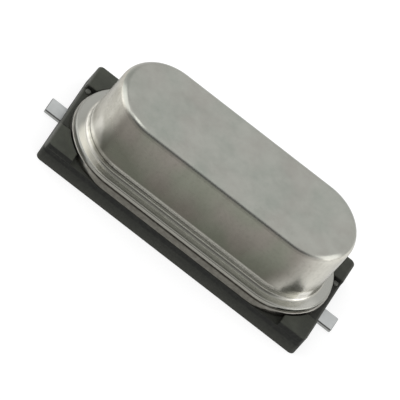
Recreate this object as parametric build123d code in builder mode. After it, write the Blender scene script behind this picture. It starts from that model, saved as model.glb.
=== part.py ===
from build123d import *
import os

# Surface-mount quartz crystal, millimetres. X runs along the can, Z is up, and the origin lies on the
# board under the middle of the part. A drawn metal can is welded to a header, and a moulded spacer holds
# the header above the board while the two leads bend outwards beneath it.

# Can: drawn cover with a round crown, straight walls, a round foot and a welding flange
can_length = 10.12
can_width = 3.72
can_height = 2.82
can_sheet = 0.2
crown_radius = 0.38
can_foot_radius = 0.12
flange_reach = 0.415
flange_edge = 0.06

# Header: stamped base with a rim under the flange, a raised dish and two collars for the glass seals
rim_reach = 0.05
header_sheet = 0.28
dish_gap = 0.11
dish_height = 0.85
dish_edge = 0.15
seal_diameter = 1.15
seal_meniscus = 0.08
collar_wall = 0.25

# Moulded spacer: drafted skirt, flat deck and four corner posts round the ends of the rim
spacer_end_margin = 0.175
spacer_side_margin = 0.025
spacer_corner_radius = 0.2
skirt_height = 0.47
skirt_set_in = 0.025
seat_height = 0.70
post_height = 0.25
post_length = 1.10
post_width = 1.155
post_edge = 0.03
rim_clearance = 0.05
pip_radius = 0.1
pip_height = 0.08
pip_end_distance = 0.19

# Leads: round wire, bent outwards and flattened into feet that reach out beyond the spacer
lead_pitch = 4.88
wire_diameter = 0.43
wire_bend_radius = 0.30
wire_flattening_length = 0.55
lead_stub = 0.35
foot_width = 0.70
foot_thickness = 0.18
foot_reach = 0.65
foot_edge = 0.02
foot_corner_radius = 0.05
lead_clearance = 0.03

# Spring clips that carry the quartz
clip_sheet = 0.12
clip_width = 0.9
clip_bend_radius = 0.12
clip_tab_length = 0.5
clip_rise = 0.4
clip_lap = 0.8

# Quartz blank, its electrode films and the dabs of adhesive at its ends
blank_end_gap = 0.86
blank_width = 1.8
blank_thickness = 0.2
electrode_end_margin = 1.7
electrode_width = 1.4
electrode_tab_width = 0.6
electrode_thickness = 0.02
adhesive_width = 0.8
adhesive_lap = 0.35
adhesive_crown = 0.12
adhesive_run_out = 0.2

# Plan sizes that follow from the can outwards
flange_length = can_length + 2 * flange_reach
flange_width = can_width + 2 * flange_reach
header_length = flange_length + 2 * rim_reach
header_width = flange_width + 2 * rim_reach
cavity_length = can_length - 2 * can_sheet
cavity_width = can_width - 2 * can_sheet
dish_length = cavity_length - 2 * dish_gap
dish_width = cavity_width - 2 * dish_gap
blank_length = cavity_length - 2 * blank_end_gap
electrode_length = blank_length - 2 * electrode_end_margin
spacer_length = header_length + 2 * spacer_end_margin
spacer_width = header_width + 2 * spacer_side_margin
deck_width = spacer_width - 2 * skirt_set_in

# Heights that follow from the board upwards
header_top = seat_height + header_sheet
dish_top = seat_height + dish_height
flange_top = header_top + can_sheet
can_top = header_top + can_height
lead_top = dish_top + lead_stub
clip_tab_height = lead_top + clip_sheet / 2
clip_shelf_height = clip_tab_height + clip_rise
blank_bottom = clip_shelf_height + clip_sheet / 2
blank_top = blank_bottom + blank_thickness

# Places along X that follow from the leads outwards
wire_radius = wire_diameter / 2
lead_x = lead_pitch / 2
lead_places = [(-lead_x, 0), (lead_x, 0)]
bend_height = wire_radius + wire_bend_radius
bend_end_x = lead_x + wire_bend_radius
foot_start_x = bend_end_x + wire_flattening_length
foot_end_x = spacer_length / 2 + foot_reach
blank_end = blank_length / 2
clip_riser_x = blank_end - clip_lap
clip_shelf_end = blank_end + adhesive_run_out


def write(piece, name):
    """Labels one finished piece and writes it to its own file."""
    piece.part.label = name
    export_step(piece.part, f"parts/{name}.step")


def write_pair(right, name):
    """Writes a piece of the right-hand side and its mirror image on the left."""
    with BuildPart() as left:
        mirror(right.part, about=Plane.YZ)
    write(right, f"{name}_right")
    write(left, f"{name}_left")


os.makedirs("parts", exist_ok=True)

# Spacer: the skirt narrows upwards to the deck, which carries the header's rim between the posts
with BuildPart() as spacer:
    with BuildSketch():
        RectangleRounded(spacer_length, spacer_width, spacer_corner_radius)
    with BuildSketch(Plane.XY.offset(skirt_height)):
        RectangleRounded(spacer_length, deck_width, spacer_corner_radius)
    loft(ruled=True)
    with BuildSketch(Plane.XY.offset(skirt_height)):
        RectangleRounded(spacer_length, deck_width, spacer_corner_radius)
    extrude(amount=seat_height - skirt_height)
    # Posts: the four corners of the deck outside the rim, raised
    with BuildSketch(Plane.XY.offset(seat_height)):
        RectangleRounded(spacer_length, deck_width, spacer_corner_radius)
        Rectangle(spacer_length - 2 * post_length, deck_width, mode=Mode.SUBTRACT)
        Rectangle(spacer_length, deck_width - 2 * post_width, mode=Mode.SUBTRACT)
        SlotOverall(header_length + 2 * rim_clearance, header_width + 2 * rim_clearance, mode=Mode.SUBTRACT)
    extrude(amount=post_height)
    chamfer(spacer.edges().group_by(Axis.Z)[-1], post_edge)
    # A small round pip at the foot of each post
    pip_x = spacer_length / 2 - pip_end_distance
    pip_y = deck_width / 2 - post_width - pip_radius
    with BuildSketch(Plane.XY.offset(seat_height)):
        with GridLocations(2 * pip_x, 2 * pip_y, 2, 2):
            Circle(pip_radius)
    extrude(amount=pip_height)
    # Underneath: a pocket for each bend, a channel for each foot and a hole for each wire
    channel_width = foot_width + 2 * lead_clearance
    pocket_start = lead_x - wire_radius - lead_clearance
    pocket_end = foot_start_x + lead_clearance
    cuts = {pocket_end: bend_height, spacer_length / 2: foot_thickness + lead_clearance}
    for cut_end, cut_height in cuts.items():
        with BuildSketch():
            for side in (-1, 1):
                with Locations((side * (pocket_start + cut_end) / 2, 0)):
                    Rectangle(cut_end - pocket_start, channel_width)
        extrude(amount=cut_height, mode=Mode.SUBTRACT)
    with BuildSketch():
        with Locations(*lead_places):
            Circle(wire_radius + lead_clearance)
    extrude(amount=seat_height, mode=Mode.SUBTRACT)
write(spacer, "spacer")

# Lead: a flat foot with its underside on the board, drawn out of a quarter bend and a straight wire
with BuildPart() as lead:
    with BuildSketch() as foot_plan:
        with Locations((foot_start_x, 0)):
            Rectangle(foot_end_x - foot_start_x, foot_width, align=(Align.MIN, Align.CENTER))
        fillet(foot_plan.vertices().group_by(Axis.X)[-1], foot_corner_radius)
    extrude(amount=foot_thickness)
    for rim in (lead.edges().group_by(Axis.Z)[0], lead.edges().group_by(Axis.Z)[-1]):
        chamfer(rim.sort_by(Axis.X)[1:], foot_edge)
    with BuildSketch(Plane.YZ.offset(foot_start_x)) as foot_section:
        with Locations((0, foot_thickness / 2)):
            Rectangle(foot_width, foot_thickness)
        chamfer(foot_section.vertices(), foot_edge)
    with BuildSketch(Plane.YZ.offset(bend_end_x)):
        with Locations((0, wire_radius)):
            Circle(wire_radius)
    loft(ruled=True)
    with BuildLine(Plane.XZ) as wire_path:
        Line((lead_x, lead_top), (lead_x, bend_height))
        RadiusArc((lead_x, bend_height), (bend_end_x, wire_radius), -wire_bend_radius)
    with BuildSketch(Plane.XY.offset(lead_top)):
        with Locations((lead_x, 0)):
            Circle(wire_radius)
    sweep(path=wire_path.wires()[0])
write_pair(lead, "lead")

# Header: rim under the can's flange, hollow dish inside the can and a collar round each glass seal
with BuildPart() as header:
    with BuildSketch(Plane.XY.offset(seat_height)):
        SlotOverall(header_length, header_width)
    extrude(amount=header_sheet)
    with BuildSketch(Plane.XY.offset(header_top)):
        SlotOverall(dish_length, dish_width)
    extrude(amount=dish_top - header_top)
    chamfer(header.edges().group_by(Axis.Z)[-1], dish_edge)
    with BuildSketch(Plane.XY.offset(seat_height)):
        SlotOverall(dish_length - 2 * header_sheet, dish_width - 2 * header_sheet)
        with Locations(*lead_places):
            Circle(seal_diameter / 2 + collar_wall, mode=Mode.SUBTRACT)
    extrude(amount=dish_height - header_sheet, mode=Mode.SUBTRACT)
    with BuildSketch(Plane.XY.offset(seat_height)):
        with Locations(*lead_places):
            Circle(seal_diameter / 2)
    extrude(amount=dish_height, mode=Mode.SUBTRACT)
write(header, "header")

# Glass seal: bead round the wire, with a hollow meniscus on top
with BuildPart() as glass_seal:
    with BuildSketch(Plane.XZ):
        with BuildLine():
            inner = lead_x + wire_radius
            outer = lead_x + seal_diameter / 2
            hollow = ((inner + outer) / 2, dish_top - seal_meniscus)
            foot_points = [(inner, seat_height), (outer, seat_height)]
            Polyline((inner, dish_top), *foot_points, (outer, dish_top), hollow, close=True)
        make_face()
    revolve(axis=Axis((lead_x, 0, 0), (0, 0, 1)))
write_pair(glass_seal, "glass_seal")

# Can: flange and wall drawn from one sheet, so the inside follows the outside at the sheet's thickness
with BuildPart() as can:
    with BuildSketch(Plane.XY.offset(header_top)):
        SlotOverall(flange_length, flange_width)
    extrude(amount=can_sheet)
    chamfer(can.edges().group_by(Axis.Z)[-1], flange_edge)
    with BuildSketch(Plane.XY.offset(flange_top)):
        SlotOverall(can_length, can_width)
    extrude(amount=can_top - flange_top)
    wall_edges = can.edges(Select.LAST).group_by(Axis.Z)
    fillet(wall_edges[-1], crown_radius)
    fillet(wall_edges[0], can_foot_radius)
    with BuildSketch(Plane.XY.offset(header_top)):
        SlotOverall(cavity_length, cavity_width)
    extrude(amount=can_height - can_sheet, mode=Mode.SUBTRACT)
    inside_edges = can.edges(Select.LAST).group_by(Axis.Z)
    fillet(inside_edges[-1], crown_radius - can_sheet)
    mouth_bevel = (2 - 2**0.5) * (can_foot_radius + can_sheet)
    chamfer(inside_edges[0], mouth_bevel)
write(can, "can")

# Spring clip: strip bent in a step, welded on the lead's top, with a shelf under the end of the quartz
with BuildPart() as spring_clip:
    with BuildSketch(Plane.XZ):
        with BuildLine():
            FilletPolyline(
                (lead_x - clip_tab_length, clip_tab_height),
                (clip_riser_x, clip_tab_height),
                (clip_riser_x, clip_shelf_height),
                (clip_shelf_end, clip_shelf_height),
                radius=clip_bend_radius,
            )
        trace(line_width=clip_sheet)
    extrude(amount=clip_width / 2, both=True)
write_pair(spring_clip, "spring_clip")

# Quartz blank: flat strip that bridges the two shelves
with BuildPart() as quartz_blank:
    with BuildSketch(Plane.XY.offset(blank_bottom)):
        Rectangle(blank_length, blank_width)
    extrude(amount=blank_thickness)
write(quartz_blank, "quartz_blank")

# Electrodes: a film on each face, with a tab that runs out to the adhesive at one end or, underneath, until
# it touches the rounded start of the shelf at the other
shelf_round = clip_bend_radius + clip_sheet / 2
shelf_fall = (shelf_round**2 - (shelf_round - electrode_thickness) ** 2) ** 0.5
tab_ends = {"top": -(blank_end - adhesive_lap), "bottom": clip_riser_x + clip_bend_radius - shelf_fall}
film_planes = {"top": Plane.XY.offset(blank_top), "bottom": Plane.XY.offset(blank_bottom - electrode_thickness)}
for face, film_plane in film_planes.items():
    with BuildPart() as electrode:
        with BuildSketch(film_plane):
            Rectangle(electrode_length, electrode_width)
            with Locations((tab_ends[face] / 2, 0)):
                Rectangle(abs(tab_ends[face]), electrode_tab_width)
        extrude(amount=electrode_thickness)
    write(electrode, f"electrode_{face}")

# Adhesive: dab that laps over the end of the quartz and runs down onto the shelf
with BuildPart() as adhesive:
    with BuildSketch(Plane.XZ):
        with BuildLine():
            lap_start = (blank_end - adhesive_lap, blank_top)
            run_out = (blank_end + adhesive_run_out, blank_bottom)
            crown = (blank_end, blank_top + adhesive_crown)
            ThreePointArc(lap_start, crown, run_out)
            Polyline(run_out, (blank_end, blank_bottom), (blank_end, blank_top), lap_start)
        make_face()
    extrude(amount=adhesive_width / 2, both=True)
write_pair(adhesive, "adhesive")
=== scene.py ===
import math

import bmesh
import bpy
from mathutils import Matrix, Vector


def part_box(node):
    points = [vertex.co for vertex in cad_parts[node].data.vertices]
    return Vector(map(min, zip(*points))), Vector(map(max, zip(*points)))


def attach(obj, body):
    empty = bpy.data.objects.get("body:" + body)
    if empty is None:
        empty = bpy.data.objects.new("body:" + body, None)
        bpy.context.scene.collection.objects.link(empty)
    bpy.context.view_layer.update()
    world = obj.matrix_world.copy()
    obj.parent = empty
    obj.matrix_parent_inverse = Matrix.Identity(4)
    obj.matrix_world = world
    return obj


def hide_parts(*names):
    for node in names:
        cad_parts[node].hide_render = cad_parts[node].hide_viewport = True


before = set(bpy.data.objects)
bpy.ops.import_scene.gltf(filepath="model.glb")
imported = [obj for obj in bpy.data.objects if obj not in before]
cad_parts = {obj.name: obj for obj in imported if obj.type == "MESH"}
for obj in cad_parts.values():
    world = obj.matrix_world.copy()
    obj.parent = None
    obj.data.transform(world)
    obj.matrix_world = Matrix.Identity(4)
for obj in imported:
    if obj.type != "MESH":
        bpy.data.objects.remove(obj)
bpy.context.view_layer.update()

# Header: stamped base of nickel-plated steel, an oval plate whose rim shows as a thin ring under the can.
# Its middle is pressed up into a dish that fits inside the can, with a round hole for each glass seal.
mm = 0.001
header_low, header_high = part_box("header")
header_end = (header_high.x - header_high.y) / mm
header_edge = 0.03 * mm
merge_distance = 0.0001 * mm
flat_angle = math.radians(0.5)
sharp_angle = math.radians(30)
rim_long_shaded_dark = (0.085, 0.081, 0.069, 1)
rim_long_shaded_pale = (0.19, 0.183, 0.158, 1)
rim_end_dark = (0.26, 0.25, 0.225, 1)
rim_end_pale = (0.45, 0.44, 0.40, 1)


def add_object(name, shape):
    """Puts a finished shape in the scene under that name."""
    mesh = bpy.data.meshes.new(name)
    shape.to_mesh(mesh)
    shape.free()
    made = bpy.data.objects.new(name, mesh)
    bpy.context.collection.objects.link(made)
    return made


def cad_copy(node, edge_round):
    """A smooth copy of a CAD node with its sharp edges rounded off."""
    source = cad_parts[node]
    shape = bmesh.new()
    shape.from_mesh(source.data)
    shape.transform(source.matrix_world)
    bmesh.ops.remove_doubles(shape, verts=shape.verts, dist=merge_distance)
    bmesh.ops.dissolve_limit(shape, angle_limit=flat_angle, verts=shape.verts, edges=shape.edges)
    for face in shape.faces:
        face.smooth = True
    piece = add_object(node + "_shown", shape)
    bevel = piece.modifiers.new("edge_round", "BEVEL")
    bevel.width = edge_round
    bevel.segments = 3
    bevel.limit_method = "ANGLE"
    bevel.angle_limit = sharp_angle
    bevel.harden_normals = True
    return piece


header = cad_copy("header", header_edge)


class Wire:
    """One value in a shader graph. Arithmetic on it adds the nodes that work it out."""

    def __init__(self, tree, socket=None):
        self.tree = tree
        self.socket = socket

    def node(self, kind, inputs=(), output=0, **settings):
        """Adds a node of that kind, sets it up, joins its inputs and returns one of its outputs, if any."""
        made = self.tree.nodes.new(kind)
        for name, value in settings.items():
            setattr(made, name, value)
        for name, value in dict(inputs).items():
            if isinstance(value, Wire):
                self.tree.links.new(value.socket, made.inputs[name])
            else:
                made.inputs[name].default_value = value
        if made.outputs:
            return Wire(self.tree, made.outputs[output])

    def math(self, operation, *others):
        return self.node("ShaderNodeMath", enumerate((self, *others)), operation=operation)

    def __add__(self, other):
        return self.math("ADD", other)

    def __mul__(self, other):
        return self.math("MULTIPLY", other)

    def __sub__(self, other):
        return self.math("SUBTRACT", other)

    def __rsub__(self, other):
        return self * -1 + other

    def __abs__(self):
        return self.math("ABSOLUTE")

    __radd__ = __add__
    __rmul__ = __mul__

    def axis(self, name):
        """How far this place lies along X, Y or Z."""
        return self.node("ShaderNodeSeparateXYZ", {"Vector": self}, output=name)

    def stretch(self, x, y, z):
        """This place with its three directions scaled."""
        return self.node("ShaderNodeVectorMath", {0: self, 1: (x, y, z)}, operation="MULTIPLY")

    def noise(self, scale, detail=2.0, roughness=0.5):
        """Soft noise from 0 to 1 at this place, with that many waves to the millimetre."""
        inputs = {"Vector": self, "Scale": scale, "Detail": detail, "Roughness": roughness}
        return self.node("ShaderNodeTexNoise", inputs)

    def step(self, start, full):
        """Rises smoothly from 0 at start to 1 at full."""
        limits = {"Value": self, "From Min": start, "From Max": full}
        return self.node("ShaderNodeMapRange", limits, interpolation_type="SMOOTHSTEP")

    def band(self, start, full, fade, end):
        """Rises smoothly from 0 at start to 1 at full, and falls from 1 at fade to 0 at end."""
        return self.step(start, full) * self.step(end, fade)

    def mix(self, low, high):
        """A colour between low and high, with this value as the share of high."""
        return self.node("ShaderNodeMix", {0: self, 6: low, 7: high}, output=2, data_type="RGBA")

    def bump(self, depth):
        """A surface normal roughened by this height, with that depth in millimetres."""
        return self.node("ShaderNodeBump", {"Height": self, "Distance": depth * mm, "Strength": 1.0})


def start_material(name):
    """A new empty material, as its graph and the place on the piece in millimetres."""
    material = bpy.data.materials.new(name)
    material.use_nodes = True
    material.node_tree.nodes.clear()
    graph = Wire(material.node_tree)
    place = graph.node("ShaderNodeTexCoord", output="Object").stretch(1 / mm, 1 / mm, 1 / mm)
    return material, graph, place


def end_material(graph, inputs):
    """Ends a material with one surface shader."""
    surface = graph.node("ShaderNodeBsdfPrincipled", inputs)
    graph.node("ShaderNodeOutputMaterial", {"Surface": surface})


header_metal, graph, place = start_material("header_metal")
past_end = abs(place.axis("X")) - header_end
grain = place.noise(14, detail=3)
cloud = place.noise(1.1, detail=3)
speckle = place.noise(6, detail=3, roughness=0.6).step(0.3, 0.7)
stain = cloud * 0.5 + speckle * 0.5
# Painted shade: the long sides of the rim are written much darker than its round ends.
long_shaded_tone = stain.mix(rim_long_shaded_dark, rim_long_shaded_pale)
end_tone = stain.mix(rim_end_dark, rim_end_pale)
end_material(graph, {
    "Base Color": past_end.step(0.2, 1.6).mix(long_shaded_tone, end_tone),
    "Metallic": 1.0,
    "Roughness": 0.26 + grain * 0.12,
    "Normal": grain.bump(0.002),
})


def finish_piece(piece, material, slot, *nodes):
    """Gives a piece its material, and for a new piece hangs it on the root body and hides the CAD nodes it
    stands for.
    """
    piece.data.materials.clear()
    piece.data.materials.append(material)
    if nodes:
        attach(piece, "root")
        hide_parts(*nodes)


finish_piece(header, header_metal, "header_metal", "header")

# Glass seals: one bead of smoky sealing glass for each lead, melted into its hole in the header. It holds
# the lead, keeps it clear of the metal round it and closes the can against air and damp.
glass_deep = (0.20, 0.26, 0.25, 1)
glass_pale = (0.32, 0.38, 0.36, 1)
seal_glass, graph, place = start_material("seal_glass")
end_material(graph, {
    "Base Color": place.noise(3).mix(glass_deep, glass_pale),
    "Roughness": 0.12,
    "Coat Weight": 0.5,
})
for side in ("left", "right"):
    finish_piece(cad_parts["glass_seal_" + side], seal_glass, "seal_glass")

# Leads: tinned iron-nickel wire through the glass seals, bent outwards under the spacer and flattened
# into the two feet that are soldered to the board. The sides of the feet carry painted shade along the top
# and a paler painted reflection of the floor below it.
foot_thickness = 0.18
lead_edge = 0.008 * mm
tin_grey = (0.47, 0.485, 0.48, 1)
tin_pale = (0.62, 0.635, 0.63, 1)
tin_side_reflection = (0.33, 0.335, 0.325, 1)
tin_side_shade = (0.10, 0.10, 0.095, 1)
lead_tin, graph, place = start_material("lead_tin")
height = place.axis("Z")
drawn = place.stretch(0.25, 1, 1).noise(22, detail=3)
face_tone = place.noise(2.6).mix(tin_grey, tin_pale)
# Painted shade along the top of each side of a foot, over a paler painted reflection of the floor.
side_tone = height.step(0.11, 0.13).mix(tin_side_reflection, tin_side_shade)
at_side = height.band(0.02, 0.04, foot_thickness - 0.01, foot_thickness - 0.001)
end_material(graph, {
    "Base Color": at_side.mix(face_tone, side_tone),
    "Metallic": 1.0,
    "Roughness": 0.36 + drawn * 0.16,
    "Normal": drawn.bump(0.002),
})
for side in ("left", "right"):
    lead = cad_copy("lead_" + side, lead_edge)
    finish_piece(lead, lead_tin, "lead_tin", "lead_" + side)

# Spring clips: bright strip bent in a step and spot-welded to the tops of the leads inside the can. Their
# shelves carry the two ends of the quartz and take up knocks.
clip_dull = (0.50, 0.47, 0.41, 1)
clip_bright = (0.66, 0.63, 0.55, 1)
clip_metal, graph, place = start_material("clip_metal")
rolled = place.stretch(1, 0.2, 1).noise(20)
end_material(graph, {
    "Base Color": rolled.mix(clip_dull, clip_bright),
    "Metallic": 1.0,
    "Roughness": 0.2 + rolled * 0.15,
})
for side in ("left", "right"):
    finish_piece(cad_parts["spring_clip_" + side], clip_metal, "clip_metal")

# Quartz blank: strip sawn from clear crystal and lapped thin. It bridges the shelves of the two clips,
# clear of the can and the header, so that it is free to swing.
quartz_cool = (0.81, 0.85, 0.86, 1)
quartz_pale = (0.89, 0.91, 0.90, 1)
quartz, graph, place = start_material("quartz")
lapped = place.noise(30)
end_material(graph, {
    "Base Color": lapped.mix(quartz_cool, quartz_pale),
    "Roughness": 0.25 + lapped * 0.1,
    "Transmission Weight": 0.8,
    "IOR": 1.54,
})
finish_piece(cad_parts["quartz_blank"], quartz, "quartz")

# Electrodes: a silver film evaporated through a mask on each face of the quartz, with a narrow tab that
# runs out towards the clip at one end.
silver_hazy = (0.74, 0.73, 0.69, 1)
silver_bright = (0.86, 0.85, 0.82, 1)
electrode_film, graph, place = start_material("electrode_film")
haze = place.noise(8)
end_material(graph, {
    "Base Color": haze.mix(silver_hazy, silver_bright),
    "Metallic": 1.0,
    "Roughness": 0.12 + haze * 0.08,
})
for side in ("top", "bottom"):
    finish_piece(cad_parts["electrode_" + side], electrode_film, "electrode_film")

# Adhesive: a dab of silver-filled resin at each end of the quartz, put on wet and baked hard. It holds the
# quartz to its clip and carries the current to the electrode.
resin_grey = (0.38, 0.37, 0.35, 1)
resin_silver = (0.62, 0.61, 0.58, 1)
silver_adhesive, graph, place = start_material("silver_adhesive")
specks = place.noise(40)
end_material(graph, {
    "Base Color": specks.mix(resin_grey, resin_silver),
    "Metallic": 0.4,
    "Roughness": 0.6,
    "Normal": specks.bump(0.006),
})
for side in ("left", "right"):
    finish_piece(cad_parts["adhesive_" + side], silver_adhesive, "silver_adhesive")

# Can: oval cover of nickel silver, deep-drawn from one sheet with a round crown, straight walls and a
# flange that is resistance-welded to the header's rim. Satin grain, faint stains and drawing marks.
can_low, can_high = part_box("can")
sheet = 0.2 * mm
flange_reach = 0.415 * mm
crown_round = 0.38 * mm
foot_round = 0.12 * mm
flange_round = 0.08 * mm
seam_round = 0.03 * mm
end_steps = 72
weld_distance = 0.0005 * mm
flange_top = can_low.z + sheet
crown_base = can_high.z - crown_round
flange_radius = can_high.y
wall_radius = flange_radius - flange_reach
end_centre = can_high.x - flange_radius
inner_radius = wall_radius - sheet
inner_round = crown_round - sheet
mouth_round = foot_round + sheet
top_warm = (0.345, 0.335, 0.305, 1)
top_green = (0.315, 0.337, 0.30, 1)
top_pale = (0.415, 0.42, 0.382, 1)
shade_low_warm = (0.13, 0.121, 0.102, 1)
shade_low_green = (0.119, 0.123, 0.097, 1)
shade_high_warm = (0.235, 0.218, 0.192, 1)
shade_high_green = (0.212, 0.217, 0.178, 1)
end_lit_dark = (0.44, 0.425, 0.37, 1)
end_lit_pale = (0.66, 0.645, 0.58, 1)
ring_dark = (0.29, 0.283, 0.25, 1)
ring_highlight = (0.70, 0.685, 0.62, 1)
foot_long_shaded = (0.18, 0.178, 0.155, 1)
foot_end = (0.46, 0.45, 0.405, 1)
edge_long_shaded = (0.27, 0.265, 0.235, 1)
edge_end = (0.34, 0.34, 0.31, 1)
flange_long_lit = (0.51, 0.52, 0.48, 1)
flange_end = (0.39, 0.39, 0.36, 1)
flange_highlight_metal = (0.90, 0.89, 0.82, 1)
foot_highlight_metal = (0.92, 0.90, 0.83, 1)
pit_and_reflection_dark = (0.06, 0.058, 0.048, 1)


def arc(centre_out, centre_up, radius, start, end, steps):
    """Points of an arc in the section: distance out from the end centre's axis, and height."""
    points = []
    for i in range(steps + 1):
        angle = math.radians(start + (end - start) * i / steps)
        points.append((centre_out + radius * math.cos(angle), centre_up + radius * math.sin(angle)))
    return points


section = [(0, can_high.z - sheet)]
section += arc(inner_radius - inner_round, crown_base, inner_round, 90, 0, steps=6)
section += arc(inner_radius + mouth_round, can_low.z + mouth_round, mouth_round, 180, 270, steps=8)
section += arc(flange_radius - seam_round, can_low.z + seam_round, seam_round, -90, 0, steps=3)
section += arc(flange_radius - flange_round, flange_top - flange_round, flange_round, 0, 90, steps=8)
section += arc(wall_radius + foot_round, flange_top + foot_round, foot_round, 270, 180, steps=16)
section += arc(wall_radius - crown_round, crown_base, crown_round, 0, 90, steps=24)
section += [(0, can_high.z)]

shape = bmesh.new()
verts = [shape.verts.new((end_centre, -out, up)) for out, up in section]
strip = verts + [shape.edges.new(pair) for pair in zip(verts, verts[1:])]
for centre in (end_centre, -end_centre):
    half_turn = {"cent": (centre, 0, 0), "axis": (0, 0, 1), "angle": math.pi, "steps": end_steps}
    turned = bmesh.ops.spin(shape, geom=strip, **half_turn)["geom_last"]
    edges = [item for item in turned if isinstance(item, bmesh.types.BMEdge)]
    drawn_out = bmesh.ops.extrude_edge_only(shape, edges=edges)["geom"]
    verts = [item for item in drawn_out if isinstance(item, bmesh.types.BMVert)]
    bmesh.ops.translate(shape, verts=verts, vec=(-2 * centre, 0, 0))
    strip = verts + [item for item in drawn_out if isinstance(item, bmesh.types.BMEdge)]
bmesh.ops.remove_doubles(shape, verts=shape.verts, dist=weld_distance)
bmesh.ops.recalc_face_normals(shape, faces=shape.faces)
for face in shape.faces:
    face.smooth = True
can = add_object("can_shown", shape)

# Places on the can are measured from the flange's top and from the centres of its two round ends.
can_metal, graph, place = start_material("can_metal")
along = place.axis("X")
to_front = place.axis("Y") * -1
rise = place.axis("Z") - flange_top / mm
past_left = along * -1 - end_centre / mm
past_right = along - end_centre / mm
past_end = abs(along) - end_centre / mm
top_rise = (can_high.z - flange_top) / mm
grain = place.noise(16, detail=4, roughness=0.6)
stain = place.noise(0.9, detail=4, roughness=0.65)
marks = place.stretch(1, 1, 0.3).noise(3, detail=4, roughness=0.6)
tint = place.noise(0.6, detail=1).step(0.35, 0.65)

# The top is dull and stained. The long walls carry painted shade, deeper downwards and near the left end,
# over the drawing marks. The round ends are painted brighter as a reflection, most at the right.
top_dull = tint.mix(top_warm, top_green)
top_tone = stain.step(0.2, 0.8).mix(top_dull, top_pale)
wall_light = rise.step(0.22, 2.42) + marks * 0.5 - 0.32 - past_left.step(-0.6, 0.4) * 0.3
low_wall_shade = tint.mix(shade_low_warm, shade_low_green)
high_wall_shade = tint.mix(shade_high_warm, shade_high_green)
long_shaded_tone = wall_light.mix(low_wall_shade, high_wall_shade)
end_light = marks * 1.4 - 0.4 + along.step(-4, 4) * 0.7
end_tone = end_light.mix(end_lit_dark, end_lit_pale)
left_end = past_left.step(0.8, 1.45)
right_end = (past_right + rise.step(1.42, 0.42) * 0.3).step(0.2, 1.65)
wall_tone = (left_end + right_end).mix(long_shaded_tone, end_tone)

# Below the wall come a band of drawing marks with a painted highlight along its lower part away from the
# left end, the foot, the flange's face and its edge.
ring_light = marks * 0.35 + 0.15 + rise.step(0.32, 0.26) * past_left.step(1.0, -1.0) * 0.6
ring_light = ring_light - past_left.band(0.1, 0.6, 1.0, 1.4) * 0.4
ring_tone = ring_light.mix(ring_dark, ring_highlight)
# Painted light: on the long sides the foot and the edge are written darker as shade, and the flange's face
# paler.
round_end = past_end.step(0.4, 1.2)
foot_tone = round_end.mix(foot_long_shaded, foot_end)
edge_tone = round_end.mix(edge_long_shaded, edge_end)
flange_tone = round_end.mix(flange_long_lit, flange_end)
# Painted highlight: a bright patch on the front of the flange, broad at the left end and faint at the right.
flange_highlight = past_left.band(0.1, 0.7, 1.7, 2.0) + past_right.step(1.2, 1.6) * 0.25
flange_highlight = flange_highlight * to_front.step(0.45, 1.0)
flange_tone = flange_highlight.mix(flange_tone, flange_highlight_metal)
tone = rise.step(-0.008, -0.001).mix(edge_tone, flange_tone)
tone = rise.step(0.003, 0.01).mix(tone, foot_tone)
tone = rise.step(0.075, 0.10).mix(tone, ring_tone)
tone = rise.step(0.35, 0.44).mix(tone, wall_tone)

# Painted highlights lie on the foot of both ends, and handling has smeared the left one. A painted dark
# reflection runs as a line low along the wall, and the die left pits.
by_foot = rise.band(0.003, 0.06, 0.32, 0.52) * marks.step(0.1, 0.6)
foot_highlight = (past_left.step(0.95, 1.45) + past_right.band(1.2, 1.4, 1.6, 1.8)) * by_foot
slant = (rise - past_left * 1.6).step(-0.81, -1.26)
left_highlight_patch = slant * past_left.band(0.7, 1.45, 1.45, 1.7) * rise.band(0.27, 0.42, 0.97, 1.32)
left_highlight_patch = left_highlight_patch * to_front.step(0.3, 0.9)
right_highlight_patch = past_right.band(1.3, 1.45, 1.6, 1.75) * rise.band(0.02, 0.12, 0.32, 0.57)
right_highlight_patch = right_highlight_patch * to_front.step(0.3, 0.8)
foot_highlight = foot_highlight + left_highlight_patch * 0.5 + right_highlight_patch
smeared = past_left.step(0.5, 0.9) * rise.step(1.72, 1.12)
dark_reflection_line = rise.band(0.18, 0.205, 0.24, 0.265) * (0.75 - along.step(-4, 3) * 0.6)
pits = place.noise(7, detail=3, roughness=0.7).step(0.45, 0.75) * rise.step(0.07, 0.12)
tone = foot_highlight.mix(tone, foot_highlight_metal)
tone = (dark_reflection_line + pits * 0.16).mix(tone, pit_and_reflection_dark)
end_material(graph, {
    "Base Color": rise.step(top_rise - 0.18, top_rise - 0.10).mix(tone, top_tone),
    "Specular Tint": (0.7, 0.7, 0.7, 1),
    "Metallic": 1.0 - foot_highlight * 0.3 - smeared * 0.2 - right_highlight_patch * 0.6,
    "Roughness": 0.19 + grain * 0.1 + smeared * 0.12,
    "Normal": grain.bump(0.0015),
})
finish_piece(can, can_metal, "can_metal", "can")

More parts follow.
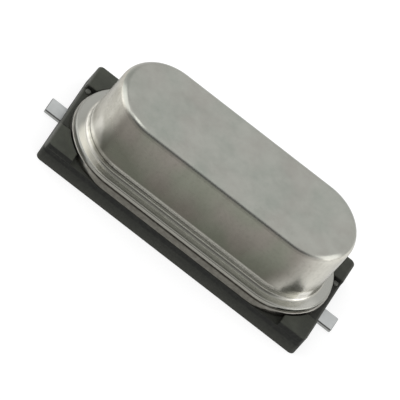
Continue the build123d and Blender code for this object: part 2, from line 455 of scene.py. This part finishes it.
# Spacer: block moulded from matt black plastic that the can stands on. Its deck carries the header's rim
# between four corner posts, and the leads run out in channels underneath. Dusty on top, with painted shade
# on its walls, painted light at the left and a painted highlight along its ends.
spacer_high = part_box("spacer")[1]
spacer_end = spacer_high.x / mm
skirt_height = 0.47
deck_height = header_low.z / mm
post_height = spacer_high.z / mm - deck_height
pip_radius = 0.1
pip_across = 1.05
spacer_edge = 0.015 * mm
skirt_lit = (0.036, 0.037, 0.030, 1)
skirt_shaded = (0.018, 0.019, 0.015, 1)
shade_black = (0.005, 0.0055, 0.004, 1)
deck_lit_left = (0.036, 0.038, 0.031, 1)
deck_shaded_right = (0.018, 0.019, 0.015, 1)
post_black = (0.033, 0.035, 0.028, 1)
post_dusty_lit = (0.054, 0.058, 0.046, 1)
pip_grey = (0.12, 0.123, 0.11, 1)
end_highlight_grey = (0.10, 0.102, 0.09, 1)
grit_grey = (0.075, 0.077, 0.065, 1)
spacer_plastic, graph, place = start_material("spacer_plastic")
along = place.axis("X")
across = place.axis("Y")
height = place.axis("Z")
above_skirt = height - skirt_height
above_deck = height - deck_height
from_end = spacer_end - abs(along)
to_right = along.step(-4, 4)
skin = place.noise(18, detail=4, roughness=0.65)
grit = place.noise(8, detail=3, roughness=0.65).step(0.35, 0.75)
# Dust on the post tops, with painted light making them paler towards the left.
dust_and_left_light = place.noise(1.6, detail=3).step(0.35, 0.8) - to_right * 0.6 + 0.5
# Painted shade: the skirt darkens upwards, and the walls above it are painted near black.
skirt_tone = height.step(0, skirt_height - 0.05).mix(skirt_lit, skirt_shaded)
tone = above_skirt.step(-0.05, 0.03).mix(skirt_tone, shade_black)
# Painted light: the deck is written paler at the left end and darker at the right.
deck_tone = to_right.mix(deck_lit_left, deck_shaded_right)
tone = above_deck.band(-0.01, -0.003, 0.003, 0.01).mix(tone, deck_tone)
pip = abs(across - pip_across).step(pip_radius + 0.01, pip_radius - 0.01)
pip = pip * from_end.step(0.32, 0.30) * above_deck.step(0.01, 0.04)
tone = pip.mix(tone, pip_grey)
post_tone = dust_and_left_light.mix(post_black, post_dusty_lit)
tone = above_deck.step(post_height - 0.05, post_height - 0.01).mix(tone, post_tone)
# Painted highlight: a paler strip along the upper edge of each end, stronger at the left.
end_edge_highlight = from_end.step(0.10, 0.03) * above_skirt.step(0.03, 0.13) * (0.9 - along.step(-1, 1) * 0.4)
tone = end_edge_highlight.mix(tone, end_highlight_grey)
end_material(graph, {
    "Base Color": (grit * 0.16).mix(tone, grit_grey),
    "Specular IOR Level": 0.25,
    "Roughness": 0.55 + skin * 0.2,
    "Normal": skin.bump(0.006),
})
spacer = cad_copy("spacer", spacer_edge)
finish_piece(spacer, spacer_plastic, "spacer_plastic", "spacer")

# Floor: plain table of matt white that the part lies on. It keeps the part's shadow, and glows to the
# camera and in reflections so that it meets the white room without an edge.
floor_reach = 3.0
floor_gap = 0.004 * mm
floor_white = (0.9, 0.9, 0.9, 1)
glow_white = (1, 1, 1, 1)
glow_share = 0.6
glow_rays = ("Is Camera Ray", "Is Glossy Ray", "Is Transmission Ray")
shape = bmesh.new()
bmesh.ops.create_grid(shape, x_segments=1, y_segments=1, size=floor_reach)
bmesh.ops.translate(shape, verts=shape.verts, vec=(0, 0, -floor_gap))
floor = add_object("floor", shape)
table_white, graph, place = start_material("table_white")
seen = sum(graph.node("ShaderNodeLightPath", output=ray) for ray in glow_rays)
matt = graph.node("ShaderNodeBsdfDiffuse", {"Color": floor_white})
glow = graph.node("ShaderNodeEmission", {"Color": glow_white, "Strength": 1.2})
surface = graph.node("ShaderNodeMixShader", {0: seen * glow_share, 1: matt, 2: glow})
graph.node("ShaderNodeOutputMaterial", {"Surface": surface})
floor.data.materials.append(table_white)

# Light: pale even room, with a dark strip where the camera stands and a duller corner at the far left.
# Three soft boxes, at the left, at the right and above, give the bright lines round the crown.
room_white = (0.92, 0.92, 0.92, 1)
corner_grey = (0.68, 0.68, 0.68, 1)
strip_dark = (0.15, 0.15, 0.15, 1)
world = bpy.data.worlds.new("studio")
bpy.context.scene.world = world
world.use_nodes = True
world.node_tree.nodes.clear()
graph = Wire(world.node_tree)
direction = graph.node("ShaderNodeTexCoord", output="Generated")
sideways = direction.axis("X")
forward = direction.axis("Y")
upward = direction.axis("Z")
far_left = forward.step(0.05, 0.3) * sideways.step(-0.25, -0.5) * upward.step(0.1, 0.4)
camera_side = forward.step(-0.35, -0.6) * upward.band(0.42, 0.52, 0.73, 0.83)
room = camera_side.mix(far_left.mix(room_white, corner_grey), strip_dark)
backdrop = graph.node("ShaderNodeBackground", {"Color": room, "Strength": 1.0})
graph.node("ShaderNodeOutputWorld", {"Surface": backdrop})


def soft_box(name, place, size, level):
    """A square area lamp that faces the part, with that brightness of its face."""
    lamp = bpy.data.lights.new(name, "AREA")
    lamp.size = size
    lamp.energy = level * math.pi * size * size
    box = bpy.data.objects.new(name, lamp)
    box.location = place
    box.rotation_euler = Vector(place).to_track_quat("Z", "Y").to_euler()
    bpy.context.collection.objects.link(box)


soft_box("box_left", place=(-0.30, 0.0, 0.175), size=0.32, level=1.05)
soft_box("box_right", place=(0.31, 0.015, 0.17), size=0.22, level=1.25)
soft_box("box_above", place=(-0.10, -0.11, 0.31), size=0.11, level=1.6)

# Camera: long lens from the front and above, turned about its own axis so that the part lies across the
# picture from corner to corner.
azimuth = math.radians(-5.56)
elevation = math.radians(44.3)
roll = math.radians(41.65)
target = Vector((-0.181, -0.559, 1.5)) * mm
distance = 0.5
field = 13.997 * mm
sensor = 36
right = Vector((math.cos(azimuth), math.sin(azimuth), 0))
back = Vector((
    math.sin(azimuth) * math.cos(elevation),
    -math.cos(azimuth) * math.cos(elevation),
    math.sin(elevation),
))
above = back.cross(right)
picture_right = right * math.cos(roll) + above * math.sin(roll)
picture_up = above * math.cos(roll) - right * math.sin(roll)
facing = Matrix((picture_right, picture_up, back)).transposed().to_4x4()
lens = bpy.data.cameras.new("camera")
lens.sensor_width = sensor
lens.lens = sensor * distance / field
lens.clip_start = 0.05
lens.clip_end = 10
camera = bpy.data.objects.new("camera", lens)
camera.matrix_world = Matrix.Translation(target + back * distance) @ facing
bpy.context.collection.objects.link(camera)
bpy.context.scene.camera = camera
bpy.context.scene.view_settings.view_transform = "Standard"
